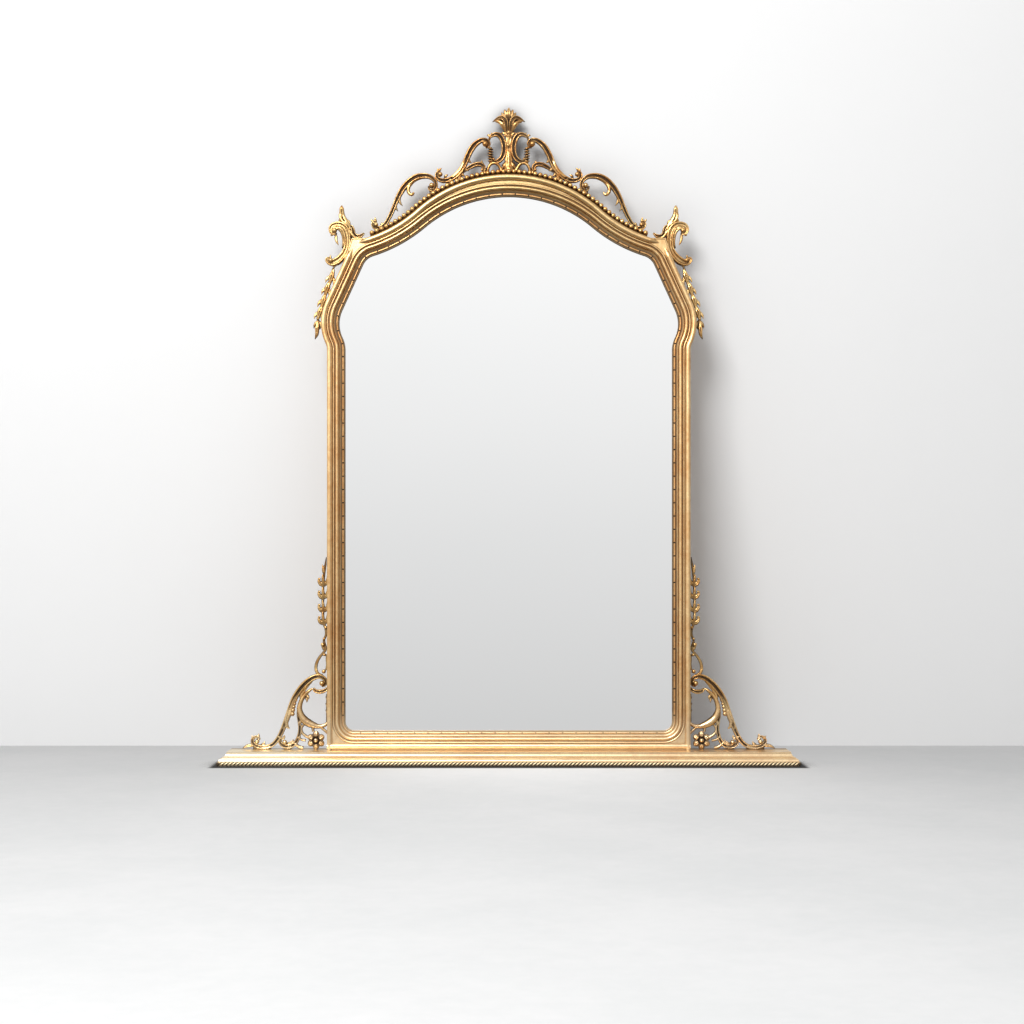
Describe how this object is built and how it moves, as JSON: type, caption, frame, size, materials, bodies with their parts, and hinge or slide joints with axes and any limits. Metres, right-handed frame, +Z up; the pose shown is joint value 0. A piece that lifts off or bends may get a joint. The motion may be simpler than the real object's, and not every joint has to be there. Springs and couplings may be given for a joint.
{
  "type": "overmantel mirror",
  "caption": "Tall arched mirror in a moulded gilt frame on a stepped plinth with rope moulding, a bead row, scrolled cresting, ear ornaments and scrolled side brackets.",
  "frame": {"origin": "centre of the plinth's underside", "axes": "+X to the right as seen from the front, +Y to the back, +Z up; the mirror faces -Y"},
  "size_m": [1.306, 0.1, 1.4881],
  "materials": {
    "gilt_frame": "gilded and aged, satin",
    "gilt_trim": "gilded, satin",
    "gilt_ornament": "gilded composition, satin",
    "mirror": "silvered glass",
    "pine_board": "bare aged pine",
    "beech_dowel": "bare",
    "steel": "dull",
    "ring_steel": "plated"
  },
  "bodies": {
    "frame": {"plinth_board": "gilt_frame", "rope_moulding": "gilt_frame", "bottom_rail": "gilt_frame", "left_stile": "gilt_frame", "right_stile": "gilt_frame", "left_neck": "gilt_frame", "right_neck": "gilt_frame", "left_knee": "gilt_frame", "right_knee": "gilt_frame", "left_shoulder": "gilt_frame", "right_shoulder": "gilt_frame", "left_ear_block": "gilt_frame", "right_ear_block": "gilt_frame", "left_haunch": "gilt_frame", "right_haunch": "gilt_frame", "arch_crown": "gilt_frame", "rail_trim": "gilt_trim", "left_side_trim": "gilt_trim", "right_side_trim": "gilt_trim", "arch_trim": "gilt_trim", "mirror_glass": "mirror", "backboard": "pine_board", "turn_buttons": "steel", "turn_button_screws": "steel", "plinth_screws": "steel", "frame_dowels": "beech_dowel", "left_hanger_strap": "steel", "right_hanger_strap": "steel", "hanger_screws": "steel", "bead_fillet": "gilt_ornament", "bead_row": "gilt_ornament", "crest_finial": "gilt_ornament", "crest_spine": "gilt_ornament", "left_crest_scroll": "gilt_ornament", "right_crest_scroll": "gilt_ornament", "left_crest_baluster": "gilt_ornament", "right_crest_baluster": "gilt_ornament", "left_inner_wing": "gilt_ornament", "right_inner_wing": "gilt_ornament", "left_outer_wing": "gilt_ornament", "right_outer_wing": "gilt_ornament", "left_ear_scroll": "gilt_ornament", "right_ear_scroll": "gilt_ornament", "left_ear_pinnacle": "gilt_ornament", "right_ear_pinnacle": "gilt_ornament", "left_husk_drop": "gilt_ornament", "right_husk_drop": "gilt_ornament", "left_bracket_scroll": "gilt_ornament", "right_bracket_scroll": "gilt_ornament", "left_bracket_wreath": "gilt_ornament", "right_bracket_wreath": "gilt_ornament", "left_bracket_beads": "gilt_ornament", "right_bracket_beads": "gilt_ornament", "left_rosette": "gilt_ornament", "right_rosette": "gilt_ornament", "left_rising_husk": "gilt_ornament", "right_rising_husk": "gilt_ornament"},
    "left_ring": {"left_hanging_ring": "ring_steel"},
    "right_ring": {"right_hanging_ring": "ring_steel"}
  },
  "joints": [
    {"name": "left_ring_swing", "type": "hinge", "parent": "frame", "child": "left_ring", "pos_m": [-0.395, 0.0464, 0.87305], "axis": [1, 0, 0], "range_deg": [0, 170]},
    {"name": "right_ring_swing", "type": "hinge", "parent": "frame", "child": "right_ring", "pos_m": [0.395, 0.0464, 0.87305], "axis": [1, 0, 0], "range_deg": [0, 170]}
  ]
}
